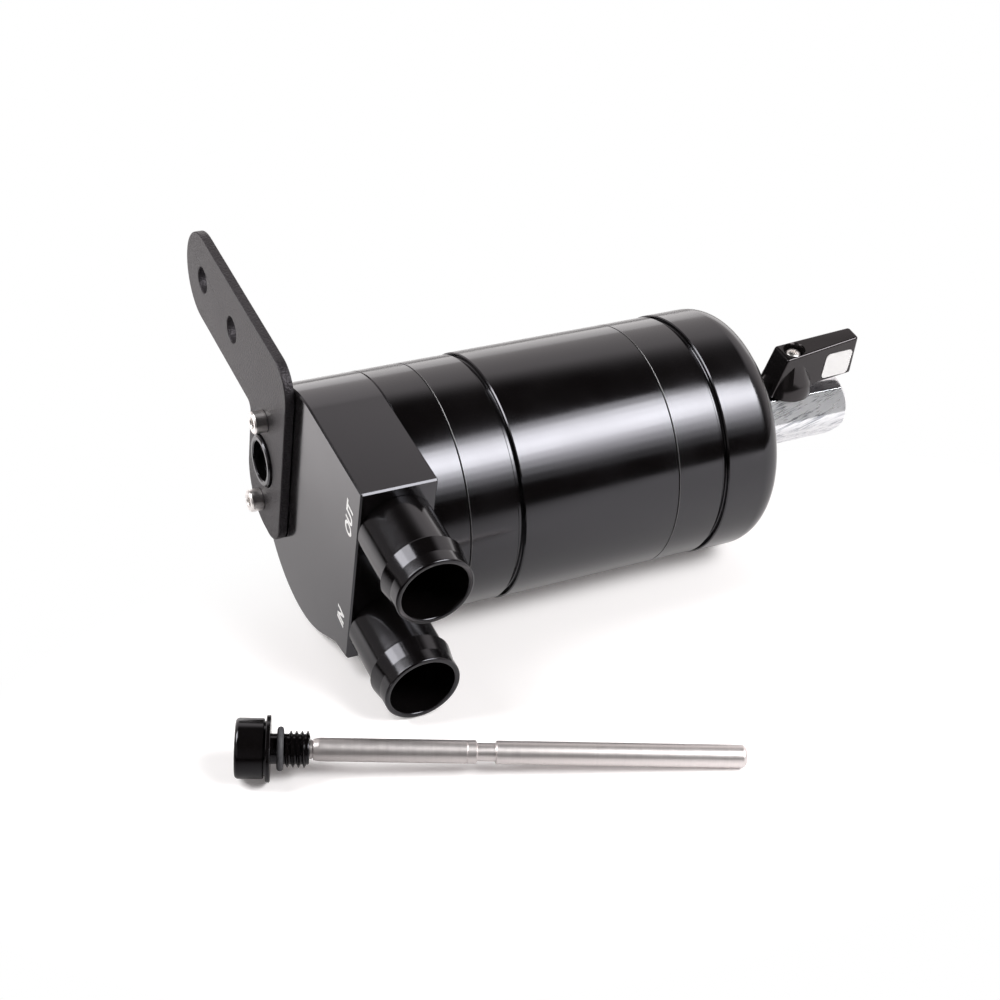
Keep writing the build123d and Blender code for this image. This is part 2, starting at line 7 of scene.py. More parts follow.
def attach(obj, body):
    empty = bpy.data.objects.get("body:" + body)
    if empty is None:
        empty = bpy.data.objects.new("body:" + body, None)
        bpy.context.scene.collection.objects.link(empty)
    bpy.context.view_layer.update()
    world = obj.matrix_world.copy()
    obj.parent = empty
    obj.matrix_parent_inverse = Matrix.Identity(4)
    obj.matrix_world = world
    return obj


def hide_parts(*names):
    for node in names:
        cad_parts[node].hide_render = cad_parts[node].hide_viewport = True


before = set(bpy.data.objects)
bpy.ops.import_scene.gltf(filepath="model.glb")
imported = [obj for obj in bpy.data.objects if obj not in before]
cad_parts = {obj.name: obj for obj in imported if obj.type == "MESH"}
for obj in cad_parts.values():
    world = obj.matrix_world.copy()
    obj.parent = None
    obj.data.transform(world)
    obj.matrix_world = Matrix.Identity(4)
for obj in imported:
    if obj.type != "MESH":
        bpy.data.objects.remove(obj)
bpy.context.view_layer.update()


# Head
# A block of aluminium alloy, milled to a round back with a flat top and front face, hollowed from
# the collar's side and drilled for the hose tails, the dipstick and the bracket's screws, then
# anodised black. Its spigot screws into the collar.
mm = 0.001
touching = 0.01 * mm
can_start = Vector((-71.65, 12.56, 38.6)) * mm
roll = math.radians(12.096)
along = Vector((1, 0, 0))
front = Vector((0, -math.cos(roll), -math.sin(roll)))
upward = Vector((0, -math.sin(roll), math.cos(roll)))
head_r = 38.0
head_len = 22.8
front_face = 38.65
front_low = -24.5
lip = (29.9, -26.2)
port = (-26.8, -1.1)
tail_x = 11.4
tail_heights = {"hose_tail_out": 23.5, "hose_tail_in": -13.7}
screw_spread = 15.4
bracket_screw_heights = (port[1] + screw_spread, port[1] - screw_spread)


def on_can(x, u, v):
    """A place on the can in mm: x along it from the head's outer face, u to the front, v upward."""
    return can_start + (along * x + front * u + upward * v) * mm


def pick(*pieces):
    """Select these pieces alone, with the first of them as the one that is worked on."""
    bpy.ops.object.select_all(action="DESELECT")
    for piece in pieces:
        piece.select_set(True)
    bpy.context.view_layer.objects.active = pieces[0]


def begin(name, place):
    """A new piece that is a single point, ready for its outline to be drawn from it."""
    bpy.ops.object.select_all(action="DESELECT")
    bpy.ops.mesh.primitive_plane_add(size=mm, location=place)
    piece = bpy.context.object
    piece.name = name
    bpy.ops.object.transform_apply(location=True, rotation=True, scale=True)
    bpy.ops.object.mode_set(mode="EDIT")
    bpy.ops.mesh.select_mode(type="VERT")
    bpy.ops.mesh.select_all(action="SELECT")
    bpy.ops.mesh.merge(type="CENTER")
    return piece


def draw(places):
    """Draw an outline on from the selected point, which is the first place, by extruding it."""
    for here, there in zip(places, places[1:]):
        bpy.ops.mesh.extrude_vertices_move(TRANSFORM_OT_translate={"value": there - here})


def choose(piece, kind, wanted):
    """Select only the vertices, edges or faces whose middle passes a test."""
    bpy.ops.mesh.select_mode(type=kind)
    bpy.ops.mesh.select_all(action="DESELECT")
    bpy.ops.object.mode_set(mode="OBJECT")
    spots = piece.data.vertices
    if kind == "VERT":
        for spot in spots:
            spot.select = wanted(spot.co)
    elif kind == "EDGE":
        for edge in piece.data.edges:
            edge.select = wanted((spots[edge.vertices[0]].co + spots[edge.vertices[1]].co) / 2)
    else:
        for face in piece.data.polygons:
            face.select = wanted(face.center)
    bpy.ops.object.mode_set(mode="EDIT")


def round_corner(piece, place, size):
    """Break an outline's corner that lies at a place, with its setback in mm. Below half a mm it is
    a plain chamfer, and above that a rounding."""
    choose(piece, "VERT", lambda spot: (spot - place).length < touching)
    segments = 1 if size < 0.5 else 14 if size < 5 else 20
    bpy.ops.mesh.bevel(offset=size * mm, segments=segments, affect="VERTICES")


def fill():
    """Close the drawn outline with a face."""
    bpy.ops.mesh.select_mode(type="VERT")
    bpy.ops.mesh.select_all(action="SELECT")
    bpy.ops.mesh.edge_face_add()


def thicken(way):
    """Extrude a filled outline into a plate or a block."""
    bpy.ops.mesh.select_all(action="SELECT")
    bpy.ops.mesh.extrude_region_move(TRANSFORM_OT_translate={"value": way})
    bpy.ops.mesh.select_all(action="SELECT")
    bpy.ops.mesh.normals_make_consistent(inside=False)


def seal():
    """Merge the points that lie in one place and turn every face outward."""
    bpy.ops.mesh.select_all(action="SELECT")
    bpy.ops.mesh.remove_doubles(threshold=0.001 * mm)
    bpy.ops.mesh.normals_make_consistent(inside=False)
    bpy.ops.object.mode_set(mode="OBJECT")


def turned(name, centre, axis, out, section, steps=128):
    """A piece turned on a lathe. Each corner of its section is the distance along the axis, the
    radius and, where the corner is broken, the size of its rounding, in mm."""
    spots = [centre + axis * corner[0] * mm + out * corner[1] * mm for corner in section]
    piece = begin(name, spots[0])
    draw(spots)
    if section[0][1] > 0:
        ends = (spots[0], spots[-1])
        choose(piece, "VERT", lambda spot: min((spot - end).length for end in ends) < touching)
        bpy.ops.mesh.edge_face_add()
    for corner, spot in zip(section, spots):
        if len(corner) == 3:
            round_corner(piece, spot, corner[2])
    bpy.ops.mesh.select_mode(type="VERT")
    bpy.ops.mesh.select_all(action="SELECT")
    bpy.ops.mesh.spin(steps=steps, angle=2 * math.pi, center=centre, axis=axis)
    seal()
    return piece


def work(piece, tool, operation="DIFFERENCE"):
    """Cut a piece with a tool, or weld the tool to it; the tool is used up."""
    pick(piece)
    bpy.ops.object.modifier_add(type="BOOLEAN")
    step = piece.modifiers[-1]
    step.operation = operation
    step.solver = "EXACT"
    step.object = tool
    bpy.ops.object.modifier_apply(modifier=step.name)
    bpy.data.objects.remove(tool)


def finish(piece, material, body, slot, *nodes, crease=35):
    """Smooth a finished piece, paint it, and let it ride on its body in place of plain solids."""
    pick(piece)
    bpy.ops.object.shade_smooth_by_angle(angle=math.radians(crease))
    bpy.ops.object.modifier_add(type="WEIGHTED_NORMAL")
    piece.modifiers[-1].keep_sharp = True
    bpy.ops.object.modifier_apply(modifier=piece.modifiers[-1].name)
    piece.data.materials.clear()
    piece.data.materials.append(material)
    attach(piece, body)
    if nodes:
        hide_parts(*nodes)


class Tone:
    """One output of a material's nodes. Arithmetic on tones adds Math nodes."""

    def __init__(self, tree, socket=None):
        self.tree = tree
        self.socket = socket

    def add(self, kind, settings, inputs, output=0):
        """A node of any type: its settings first, then the values or links of its sockets."""
        node = self.tree.nodes.new("ShaderNode" + kind)
        for key, value in settings.items():
            setattr(node, key, value)
        for key, value in inputs.items():
            if isinstance(value, Tone):
                self.tree.links.new(value.socket, node.inputs[key])
            else:
                node.inputs[key].default_value = value
        return Tone(self.tree, node.outputs[output] if node.outputs else None)

    def maths(self, operation, *values):
        return self.add("Math", {"operation": operation}, dict(enumerate(values)))

    def __add__(self, other):
        return self.maths("ADD", self, other)

    def __sub__(self, other):
        return self.maths("SUBTRACT", self, other)

    def __rsub__(self, other):
        return self.maths("SUBTRACT", other, self)

    def __mul__(self, other):
        return self.maths("MULTIPLY", self, other)

    def __truediv__(self, other):
        return self.maths("DIVIDE", self, other)

    __radd__ = __add__
    __rmul__ = __mul__

    def larger(self, other):
        return self.maths("MAXIMUM", self, other)

    def between(self, low, high):
        """How far this value lies on the way from low to high, from 0 to 1."""
        return self.add("MapRange", {"interpolation_type": "SMOOTHSTEP"}, {0: self, 1: low, 2: high})

    def blend(self, low, high):
        """A colour between two others, by this value. Each is a colour or a tone."""
        low, high = [end if isinstance(end, Tone) else (*end, 1) for end in (low, high)]
        return self.add("Mix", {"data_type": "RGBA"}, {0: self, 6: low, 7: high}, 2)

    def noise(self, scale, detail=2.0, stretch=(1, 1, 1), lean=(0, 0, 0)):
        """Grain in the piece's own space, with so many spots to the metre along each axis."""
        place = self.add("TexCoord", {}, {}, "Object")
        place = self.add("Mapping", {}, {"Vector": place, "Rotation": lean})
        place = self.add("VectorMath", {"operation": "MULTIPLY"}, {0: place, 1: stretch})
        return self.add("TexNoise", {}, {"Vector": place, "Scale": scale, "Detail": detail})

    def along(self, axis):
        """How far a place lies along an axis, in metres."""
        place = self.add("TexCoord", {}, {}, "Object")
        return self.add("VectorMath", {"operation": "DOT_PRODUCT"}, {0: place, 1: axis}, "Value")

    def rings(self, axis, scale, detail=2.0):
        """Tool marks round a turned piece: grain that changes only along the piece's axis."""
        grain = {"W": self.along(axis), "Scale": scale, "Detail": detail}
        return self.add("TexNoise", {"noise_dimensions": "1D"}, grain)

    def relief(self, strength, depth):
        """The surface's normal, with this value as its relief; the depth is in mm."""
        height = {"Strength": strength, "Distance": depth * mm, "Height": self}
        return self.add("Bump", {}, height)

    def surface(self, inputs):
        """Close the material with its shader."""
        shader = self.add("BsdfPrincipled", {}, inputs)
        self.add("OutputMaterial", {}, {"Surface": shader})


def blank(name):
    """A new material with no nodes yet, and the point that they are added from."""
    material = bpy.data.materials.new(name)
    material.use_nodes = True
    material.node_tree.nodes.clear()
    return material, Tone(material.node_tree)


def anodised(name, axis=None, sheen=1.55, glint_seams=()):
    """Black anodised aluminium: a clear hard film over dyed metal, with handling marks in its gloss.
    A turned piece also has the lathe's fine rings, and a pale, partly metallic band painted along each
    seam as a painted reflection of the seam's chamfer."""
    material, start = blank(name)
    marks = start.noise(55, 4.0)
    grain = start.noise(9000, 2.0) if axis is None else start.rings(axis, 5000, 3.0)
    shade = (0.7 * marks + 0.3 * grain).blend((0.0014, 0.0011, 0.0012), (0.0044, 0.0037, 0.0038))
    rough = 0.09 + 0.05 * grain + 0.06 * marks.between(0.35, 0.7)
    metal = 0.0
    if glint_seams:
        # Painted reflection: a thin pale band at each seam, lighter than the black around it, standing
        # in for the light that the seam's chamfer catches.
        gaps = [start.along(axis) - place for place in glint_seams]
        bands = [gap.maths("ABSOLUTE", gap).between(0.15 * mm, 0.07 * mm) for gap in gaps]
        seam_glint = sum(bands[1:], bands[0])
        shade = seam_glint.blend(shade, (0.14, 0.137, 0.138))
        rough = rough + 0.2 * seam_glint
        metal = 0.6 * seam_glint
    start.surface({
        "Base Color": shade,
        "Metallic": metal,
        "Roughness": rough,
        "IOR": sheen,
        "Specular Tint": (0.93, 0.925, 1.0, 1),
        "Normal": grain.relief(0.05, 0.01),
    })
    return material


milled_black = anodised("milled black anodising", sheen=1.76)
head = begin("can_head", on_can(0, 0, head_r))
lip_turn = math.atan2(lip[1], lip[0]) - math.acos(head_r / math.hypot(*lip))
bpy.ops.mesh.spin(steps=120, angle=1.5 * math.pi + lip_turn, center=can_start, axis=along)
draw([
    on_can(0, head_r * math.cos(lip_turn), head_r * math.sin(lip_turn)),
    on_can(0, *lip),
    on_can(0, front_face, front_low),
    on_can(0, front_face, head_r),
])
fill()
round_corner(head, on_can(0, *lip), 0.4)
round_corner(head, on_can(0, front_face, head_r), 0.49)
thicken(along * head_len * mm)
for end, chamfer in ((0, 0.5), (head_len, 0.3)):
    choose(head, "EDGE", lambda spot: abs(spot.x - on_can(end, 0, 0).x) < touching)
    bpy.ops.mesh.bevel(offset=chamfer * mm, segments=1, affect="EDGES")
bpy.ops.object.mode_set(mode="OBJECT")
boss = [(-1, 0), (-1, 8.05), (4, 8.05, 0.4), (4, 0)]
work(head, turned("boss", on_can(0, *port), -along, upward, boss), "UNION")
spigot = [(22, 0), (22, 34.4), (31, 34.4, 0.3), (31, 0)]
work(head, turned("spigot", can_start, along, upward, spigot), "UNION")
port_tool = [(5, 0), (5, 7.6), (4, 6.6), (3.65, 6.25), (0.4, 6.25), (0.4, 5.05), (-10, 5.05), (-10, 0)]
work(head, turned("port_tool", on_can(0, *port), -along, upward, port_tool))
chamber_tool = [(9, 0), (9, 31.5, 2), (32, 31.5), (32, 0)]
work(head, turned("chamber_tool", can_start, along, upward, chamber_tool))
tail_tool = [(-19, 0), (-19, 9.05), (-1.4, 9.05), (-1.4, 10.36), (1, 10.36), (1, 0)]
for height in tail_heights.values():
    work(head, turned("tail_tool", on_can(tail_x, front_face, height), front, along, tail_tool))
screw_tool = [(-6.2, 0), (-6.2, 2.05), (1, 2.05), (1, 0)]
for height in bracket_screw_heights:
    work(head, turned("screw_tool", on_can(0, port[0], height), -along, upward, screw_tool, 48))
finish(head, milled_black, "can", "anodised_aluminium", "head")


# Port thread
# The dipstick's M10 x 1.5 thread, tapped in the head below the port's seat and anodised with it.
# It is wound from one flank profile and trimmed flat at both ends.
pitch = 1.5


def wound(name, section, turns, steps):
    """A thread wound round the X axis from an open or closed section of (x, radius) corners."""
    spots = [Vector((x, 0, r)) * mm for x, r in section]
    piece = begin(name, spots[0])
    draw(spots)
    bpy.ops.object.mode_set(mode="OBJECT")
    bpy.ops.object.modifier_add(type="SCREW")
    step = piece.modifiers[-1]
    step.axis = "X"
    step.angle = 2 * math.pi * turns
    step.screw_offset = pitch * turns * mm
    step.steps = step.render_steps = steps
    step.use_merge_vertices = True
    step.merge_threshold = 0.001 * mm
    bpy.ops.object.modifier_apply(modifier=step.name)
    bpy.ops.object.mode_set(mode="EDIT")
    bpy.ops.mesh.select_all(action="SELECT")
    bpy.ops.mesh.remove_doubles(threshold=0.002 * mm)
    return piece


def standing(origin, *axes):
    """The place of a thing whose own X, Y and Z lie along these axes."""
    place = Matrix(axes).transposed().to_4x4()
    place.translation = origin
    return place


def settle(piece, origin, *axes):
    """Take a piece that was made round the origin to its place."""
    pick(piece)
    piece.matrix_world = standing(origin, *axes)
    bpy.ops.object.transform_apply(location=True, rotation=True, scale=True)


port_flank = [(-pitch, 4.95), (-1.2, 4.95), (-0.75, 4.25), (-0.45, 4.25), (0, 4.95)]
port_turns = 9
port_thread = wound("port_thread", port_flank, port_turns, 48 * port_turns)
for cut, way in ((0.4, -1), (9.8, 1)):
    bpy.ops.mesh.select_all(action="SELECT")
    bpy.ops.mesh.bisect(plane_co=(cut * mm, 0, 0), plane_no=(way, 0, 0), clear_outer=True)
bpy.ops.mesh.select_all(action="SELECT")
bpy.ops.mesh.normals_make_consistent(inside=True)
bpy.ops.object.mode_set(mode="OBJECT")
bpy.ops.object.modifier_add(type="SOLIDIFY")
port_thread.modifiers[-1].thickness = 0.08 * mm
bpy.ops.object.modifier_apply(modifier=port_thread.modifiers[-1].name)
settle(port_thread, on_can(-0.8, *port), along, -front, upward)
finish(port_thread, milled_black, "can", "anodised_aluminium")


# Port marks
# The words beside the two hose tails, cut through the black film with a fine laser so that the
# oxide below shows as a dull white.
etched_white, start = blank("etched white")
strokes = start.noise(6000, 1.0, (1, 4, 1))
start.surface({
    "Base Color": strokes.blend((0.74, 0.73, 0.72), (0.88, 0.87, 0.86)),
    "Roughness": 0.5 + 0.25 * strokes,
    "Normal": strokes.relief(0.3, 0.01),
})
letter_height = 6.2
letter_width = 0.82
letter_slant = 0.26
letter_depth = 0.04
stroke_gain = 0.19
marks_u = 32.6
for word, height in (("OUT", 23.7), ("IN", -13.5)):
    bpy.ops.object.select_all(action="DESELECT")
    bpy.ops.object.text_add()
    mark = bpy.context.object
    mark.name = "port_mark_" + word.lower()
    mark.data.body = word
    mark.data.align_x = "CENTER"
    mark.data.align_y = "CENTER"
    mark.data.size = letter_height * mm
    mark.data.shear = letter_slant
    mark.data.offset = stroke_gain * mm
    mark.data.extrude = letter_depth * mm
    bpy.ops.object.convert(target="MESH")
    bpy.ops.object.mode_set(mode="EDIT")
    seal()
    settle(mark, on_can(-0.02, marks_u, height), upward * letter_width, -front, -along)
    finish(mark, etched_white, "can", "anodised_aluminium")


# Hose tails
# Two tubes turned from aluminium bar, with a bead that holds a pushed-on hose behind a clamp, black
# anodised. Each screws into the front face on a rubber ring.
def copied(piece, name, move):
    """A copy of a piece, with a mesh of its own, moved to its own place."""
    pick(piece)
    bpy.ops.object.duplicate(linked=False)
    twin = bpy.context.object
    twin.name = name
    bpy.ops.transform.translate(value=move)
    bpy.ops.object.transform_apply(location=True, rotation=True, scale=True)
    return twin


tail_section = [
    (-10, 7.5),
    (-10, 9.0, 0.3),
    (0, 9.0),
    (0, 11.3, 0.2),
    (17.4, 11.3),
    (18.5, 12.25),
    (23.3, 11.42),
    (27.5, 11.42, 0.6),
    (27.5, 9.73, 0.6),
    (5.5, 9.73, 0.4),
    (3.0, 7.5, 0.4),
]
tail_black = anodised("tail black anodising", front)
tail_root = on_can(tail_x, front_face, tail_heights["hose_tail_out"])
tail_out = turned("can_hose_tail_out", tail_root, front, along, tail_section)
tail_drop = upward * (tail_heights["hose_tail_in"] - tail_heights["hose_tail_out"]) * mm
tail_in = copied(tail_out, "can_hose_tail_in", tail_drop)
finish(tail_out, tail_black, "can", "anodised_aluminium", "hose_tail_out", crease=7)
finish(tail_in, tail_black, "can", "anodised_aluminium", "hose_tail_in", crease=7)


# Collar, tube and end cap
# The can's three turned pieces, in black anodised aluminium. Each has a spigot with a rubber ring
# in the next one's bore, and the cap's edge is turned to a large radius.
collar_end = 37.1
tube_end = 106.4
seams = [on_can(end + 0.05, 0, 0).x for end in (collar_end, tube_end)]
turned_black = anodised("turned black anodising", along, 1.6, seams)
collar_section = [
    (head_len, 34.5),
    (head_len, 38.0, 0.3),
    (collar_end, 38.0, 0.45),
    (collar_end, 34.4),
    (45.3, 34.4, 0.3),
    (45.3, 31.5),
    (32.0, 31.5),
    (32.0, 34.5),
]
collar = turned("can_collar", can_start, along, upward, collar_section, 192)
finish(collar, turned_black, "can", "anodised_aluminium", "upper_collar")
tube_section = [
    (collar_end, 34.5),
    (collar_end, 38.0, 0.08),
    (52.5, 38.0, 0.3),
    (52.5, 36.7, 0.2),
    (54.3, 36.7, 0.2),
    (54.3, 38.3, 0.3),
    (tube_end, 38.3, 0.45),
    (tube_end, 34.5),
]
tube = turned("can_tube", can_start, along, upward, tube_section, 192)
finish(tube, turned_black, "can", "anodised_aluminium", "body_tube")
cap_section = [
    (98.2, 31.5),
    (98.2, 34.4, 0.3),
    (tube_end, 34.4),
    (tube_end, 38.3, 0.08),
    (121.8, 38.3, 0.3),
    (121.8, 37.0, 0.2),
    (123.6, 37.0, 0.2),
    (123.6, 38.6, 0.3),
    (144.8, 38.6, 8.4),
    (144.8, 4.9, 0.2),
    (137.0, 4.9),
    (137.0, 31.5, 5.0),
]
cap = turned("can_cap", can_start, along, upward, cap_section, 192)
finish(cap, turned_black, "can", "anodised_aluminium", "end_cap")


# Rubber rings
# Nitrile rings and a flat washer, moulded in two halves, with a faint grey bloom. They seal the
# screwed joints, the hose tails, the dipstick, the drain and the valve's stem.
def paint(material, *names):
    """Give solids that stay as they are a material of their own."""
    for name in names:
        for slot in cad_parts[name].material_slots:
            slot.material = material


rubber, start = blank("black nitrile rubber")
bloom = start.noise(900, 3.0)
start.surface({
    "Base Color": bloom.blend((0.03, 0.03, 0.034), (0.085, 0.085, 0.091)),
    "Roughness": 0.48 + 0.2 * bloom,
    "Normal": bloom.relief(0.15, 0.02),
})
paint(rubber, "head_o_ring", "tube_o_ring", "cap_o_ring", "hose_tail_o_rings")
paint(rubber, "drain_washer", "valve_stem_seal", "dipstick_o_ring")


# Baffle
# A disc of bare aluminium sheet with the streaks of rolling, punched with holes. It is held between
# the head's spigot and the collar's shoulder.
rolled_sheet, start = blank("rolled aluminium sheet")
streaks = start.noise(400, 3.0, (1, 12, 1))
start.surface({
    "Base Color": streaks.blend((0.62, 0.62, 0.62), (0.76, 0.76, 0.75)),
    "Metallic": 1.0,
    "Roughness": 0.3 + 0.2 * streaks,
})
paint(rolled_sheet, "baffle_plate")


# Bracket
# A dog-leg of 3 mm steel plate, cut to shape and drilled, with a full-round end to its arm. Its
# black powder coat is a fine sandy texture that rounds every edge.
def soften(piece, size, segments=3, crease=35):
    """Break every sharp edge of a piece by a size in mm."""
    pick(piece)
    bpy.ops.object.modifier_add(type="BEVEL")
    step = piece.modifiers[-1]
    step.width = size * mm
    step.segments = segments
    step.limit_method = "ANGLE"
    step.angle_limit = math.radians(crease)
    step.miter_outer = "MITER_ARC"
    step.use_clamp_overlap = False
    bpy.ops.object.modifier_apply(modifier=step.name)


powder_coat, start = blank("black powder coat")
sand = start.noise(1500, 2.0)
patches = start.noise(70, 3.0)
speckle = 0.6 * sand + 0.4 * patches
start.surface({
    "Base Color": speckle.blend((0.003, 0.0027, 0.003), (0.026, 0.0235, 0.0255)),
    "Roughness": 0.33 + 0.16 * sand + 0.06 * patches,
    "IOR": 1.39,
    "Specular Tint": (0.99, 0.92, 1.0, 1),
    "Normal": sand.relief(1.0, 0.26),
})
bracket_t = 3.0
foot_front = -11
foot_back = -38.8
foot_low = -24.3
arm_top = 41.2
arm_low = 11.6
arm_mid = 26.4
arm_end = -86.3
arm_holes = (-57.6, -85.3)
bracket = begin("can_bracket", on_can(0, foot_front, foot_low))
draw([on_can(0, foot_front, foot_low), on_can(0, foot_front, arm_top), on_can(0, arm_end, arm_top)])
bpy.ops.mesh.spin(steps=48, angle=math.pi, center=on_can(0, arm_end, arm_mid), axis=along)
draw([on_can(0, arm_end, arm_low), on_can(0, foot_back, arm_low), on_can(0, foot_back, foot_low)])
fill()
for u, v, size in (
    (foot_front, foot_low, 8),
    (foot_front, arm_top, 10.3),
    (foot_back, arm_low, 3),
    (foot_back, foot_low, 16),
):
    round_corner(bracket, on_can(0, u, v), size)
thicken(-along * bracket_t * mm)
bpy.ops.object.mode_set(mode="OBJECT")
bracket_holes = [(port[0], port[1], 8.4)]
bracket_holes += [(port[0], height, 2.25) for height in bracket_screw_heights]
bracket_holes += [(u, arm_mid, 4.2) for u in arm_holes]
for u, v, r in bracket_holes:
    drill = [(-1, 0), (-1, r), (5, r), (5, 0)]
    work(bracket, turned("drill", on_can(0, u, v), -along, upward, drill, 64))
soften(bracket, 0.4)
finish(bracket, powder_coat, "can", "powder_coat", "bracket", crease=50)


# Bracket screws
# Two M4 socket cap screws in stainless steel, cold headed, with a smooth round head and a broached
# hexagon socket. They hold the bracket to the head.
def outlined(name, spots):
    """A flat face drawn round its corners, ready to be thickened."""
    piece = begin(name, spots[0])
    draw(spots)
    fill()
    return piece


def hexagon(middle, radius):
    """The corners of a hexagon that stands across the can, with the radius to its corners in mm."""
    turns = [math.radians(60 * k) for k in range(6)]
    return [middle + (front * math.cos(t) + upward * math.sin(t)) * radius * mm for t in turns]


stainless, start = blank("stainless steel")
turning = start.rings(along, 9000, 2.0)
wear = start.noise(800, 3.0)
start.surface({
    "Base Color": wear.blend((0.8, 0.77, 0.75), (0.93, 0.905, 0.885)),
    "Metallic": 1.0,
    "Roughness": 0.2 + 0.12 * wear + 0.08 * turning,
    "Normal": turning.relief(0.08, 0.01),
})
screw_section = [(-8, 0), (-8, 2.0, 0.5), (0, 2.0), (0, 3.5, 0.2), (4, 3.5, 0.45), (4, 0)]
screw_seat = on_can(-bracket_t, port[0], bracket_screw_heights[0])
screws = turned("can_bracket_screws", screw_seat, -along, upward, screw_section, 72)
socket_top = [(4.2, 0), (4.2, 2.1), (3.7, 1.6), (3.7, 0)]
work(screws, turned("countersink", screw_seat, -along, upward, socket_top, 72))
socket_corner = 1.732
socket = outlined("socket", hexagon(screw_seat - along * 4.5 * mm, socket_corner))
thicken(along * 2.5 * mm)
bpy.ops.object.mode_set(mode="OBJECT")
work(screws, socket)
screw_drop = upward * (bracket_screw_heights[1] - bracket_screw_heights[0]) * mm
second_screw = copied(screws, "second_screw", screw_drop)
pick(screws, second_screw)
bpy.ops.object.join()
finish(screws, stainless, "can", "stainless_steel", "bracket_screws")


# Dipstick knob
# A round aluminium knob, turned in one with its flange and its M10 thread and black anodised. It is
# taken out of its port and lies on the flange's rim, with a rubber ring round its neck.
flange_r = 9.0
rod_r = 3.18
rod_rest = 128.4
heading = math.radians(-22.3)
slope = math.atan2(flange_r - rod_r, rod_rest)
level = Vector((math.cos(heading), math.sin(heading), 0))
plumb = Vector((0, 0, 1))
dip_axis = level * math.cos(slope) - plumb * math.sin(slope)
dip_out = level * math.sin(slope) + plumb * math.cos(slope)
dip_face = Vector((-107.35, -54.59, flange_r * math.cos(slope))) * mm
knob_section = [
    (-9.4, 0),
    (-9.4, 8.15, 1.1),
    (-1.7, 8.15, 0.25),
    (-1.7, 7.4),
    (-1.2, 7.4),
    (-1.2, flange_r, 0.25),
    (0, flange_r, 0.15),
    (0, 4.1),
    (3.6, 4.1),
    (10.4, 4.1, 0.5),
    (10.4, 2.03),
    (5.2, 2.03),
    (5.2, 0),
]
knob = turned("dipstick_knob", dip_face, dip_axis, dip_out, knob_section, 96)
ridge_half = 0.56
ridge_mid = 4.5
ridge_turns = 4.05
ridge = [
    (-ridge_half, 3.95),
    (-ridge_half, 4.05),
    (-0.1, 4.95),
    (0.1, 4.95),
    (ridge_half, 4.05),
    (ridge_half, 3.95),
]
tip_r = 0.8
thread = wound("dipstick_thread", [*ridge, ridge[0]], ridge_turns, 200)
for end in (0, pitch * ridge_turns):
    turn = -2 * math.pi * end / pitch
    tip = Vector((end, ridge_mid * math.sin(turn), ridge_mid * math.cos(turn))) * mm
    width = ridge_half * mm + touching
    choose(
        thread,
        "VERT",
        lambda spot: abs(spot.x - tip.x) < width and (spot - tip).length < tip_r * mm,
    )
    bpy.ops.mesh.merge(type="CENTER")
bpy.ops.mesh.select_all(action="SELECT")
bpy.ops.mesh.normals_make_consistent(inside=False)
bpy.ops.object.mode_set(mode="OBJECT")
settle(thread, dip_face + dip_axis * 4.0 * mm, dip_axis, dip_out.cross(dip_axis), dip_out)
pick(knob, thread)
bpy.ops.object.join()
knob_black = anodised("knob black anodising", dip_axis)
finish(knob, knob_black, "can", "anodised_aluminium", "dipstick_cap", crease=30)


# Dipstick rod
# A rod of bare drawn aluminium, pressed into the knob, with its rounded far end on the table. A
# turned waist and a scribed line mark the oil's level.
rod_section = [
    (5.2, 0),
    (5.2, 2.0),
    (10.45, 2.0),
    (10.45, 2.62, 0.05),
    (11.1, 2.62),
    (11.15, 2.35),
    (11.3, 2.35),
    (11.35, 2.85, 0.05),
    (12.9, rod_r, 0.3),
    (52.5, rod_r),
    (52.7, 3.03),
    (52.9, rod_r),
    (55.2, rod_r, 0.1),
    (55.4, 2.48, 0.1),
    (60.4, 2.48, 0.1),
    (60.6, rod_r, 0.1),
    (129.4, rod_r, 1.35),
    (129.4, 0),
]
drawn_aluminium, start = blank("drawn aluminium rod")
drawing = start.rings(dip_axis, 1600, 4.0)
scuffs = start.noise(500, 3.0)
start.surface({
    "Base Color": (0.4 * drawing + 0.6 * scuffs).blend((0.73, 0.68, 0.672), (0.87, 0.82, 0.81)),
    "Metallic": 1.0,
    "Roughness": 0.33 + 0.06 * drawing + 0.08 * scuffs,
    "Normal": drawing.relief(0.03, 0.02),
})
rod = turned("dipstick_bar", dip_face, dip_axis, dip_out, rod_section, 96)
finish(rod, drawn_aluminium, "can", "bare_aluminium", "dipstick_rod")


# Drain valve
# A small ball valve on the can's axis: a length of hexagon brass bar, bored, chamfered at its ends
# and nickel plated, with a neck that screws into the cap. A screwed-in end nut holds a plated ball.
hex_flats = 19.0
hex_start = 150.0
hex_len = 38.0
stem_x = 167.1
plated_brass, start = blank("brushed nickel plate")
lean = (0, math.radians(14), 0)
brushing = start.noise(260, 1.5, (0.5, 11, 11), lean)
mottle = start.noise(300, 3.0)
top_flat = on_can(0, 0, hex_flats / 2).dot(upward)
smooth = start.along(upward).between(top_flat - 0.3 * mm, top_flat - 0.05 * mm)
patchy = start.noise(150, 2.0, (0.6, 2.5, 2.5), lean).between(0.38, 0.62)
dull = patchy * brushing.between(0.56, 0.38)
start.surface({
    "Base Color": (0.85 * dull + 0.15 * mottle).blend((0.94, 0.95, 0.975), (0.36, 0.38, 0.42)),
    "Metallic": 1.0,
    "Roughness": 0.2 + 0.12 * brushing + 0.06 * mottle - 0.17 * smooth,
    "Normal": brushing.relief(0.1, 0.03),
})
hex_corners = hexagon(on_can(hex_start, 0, 0), hex_flats / math.sqrt(3))
valve = outlined("drain_valve", hex_corners)
thicken(along * hex_len * mm)
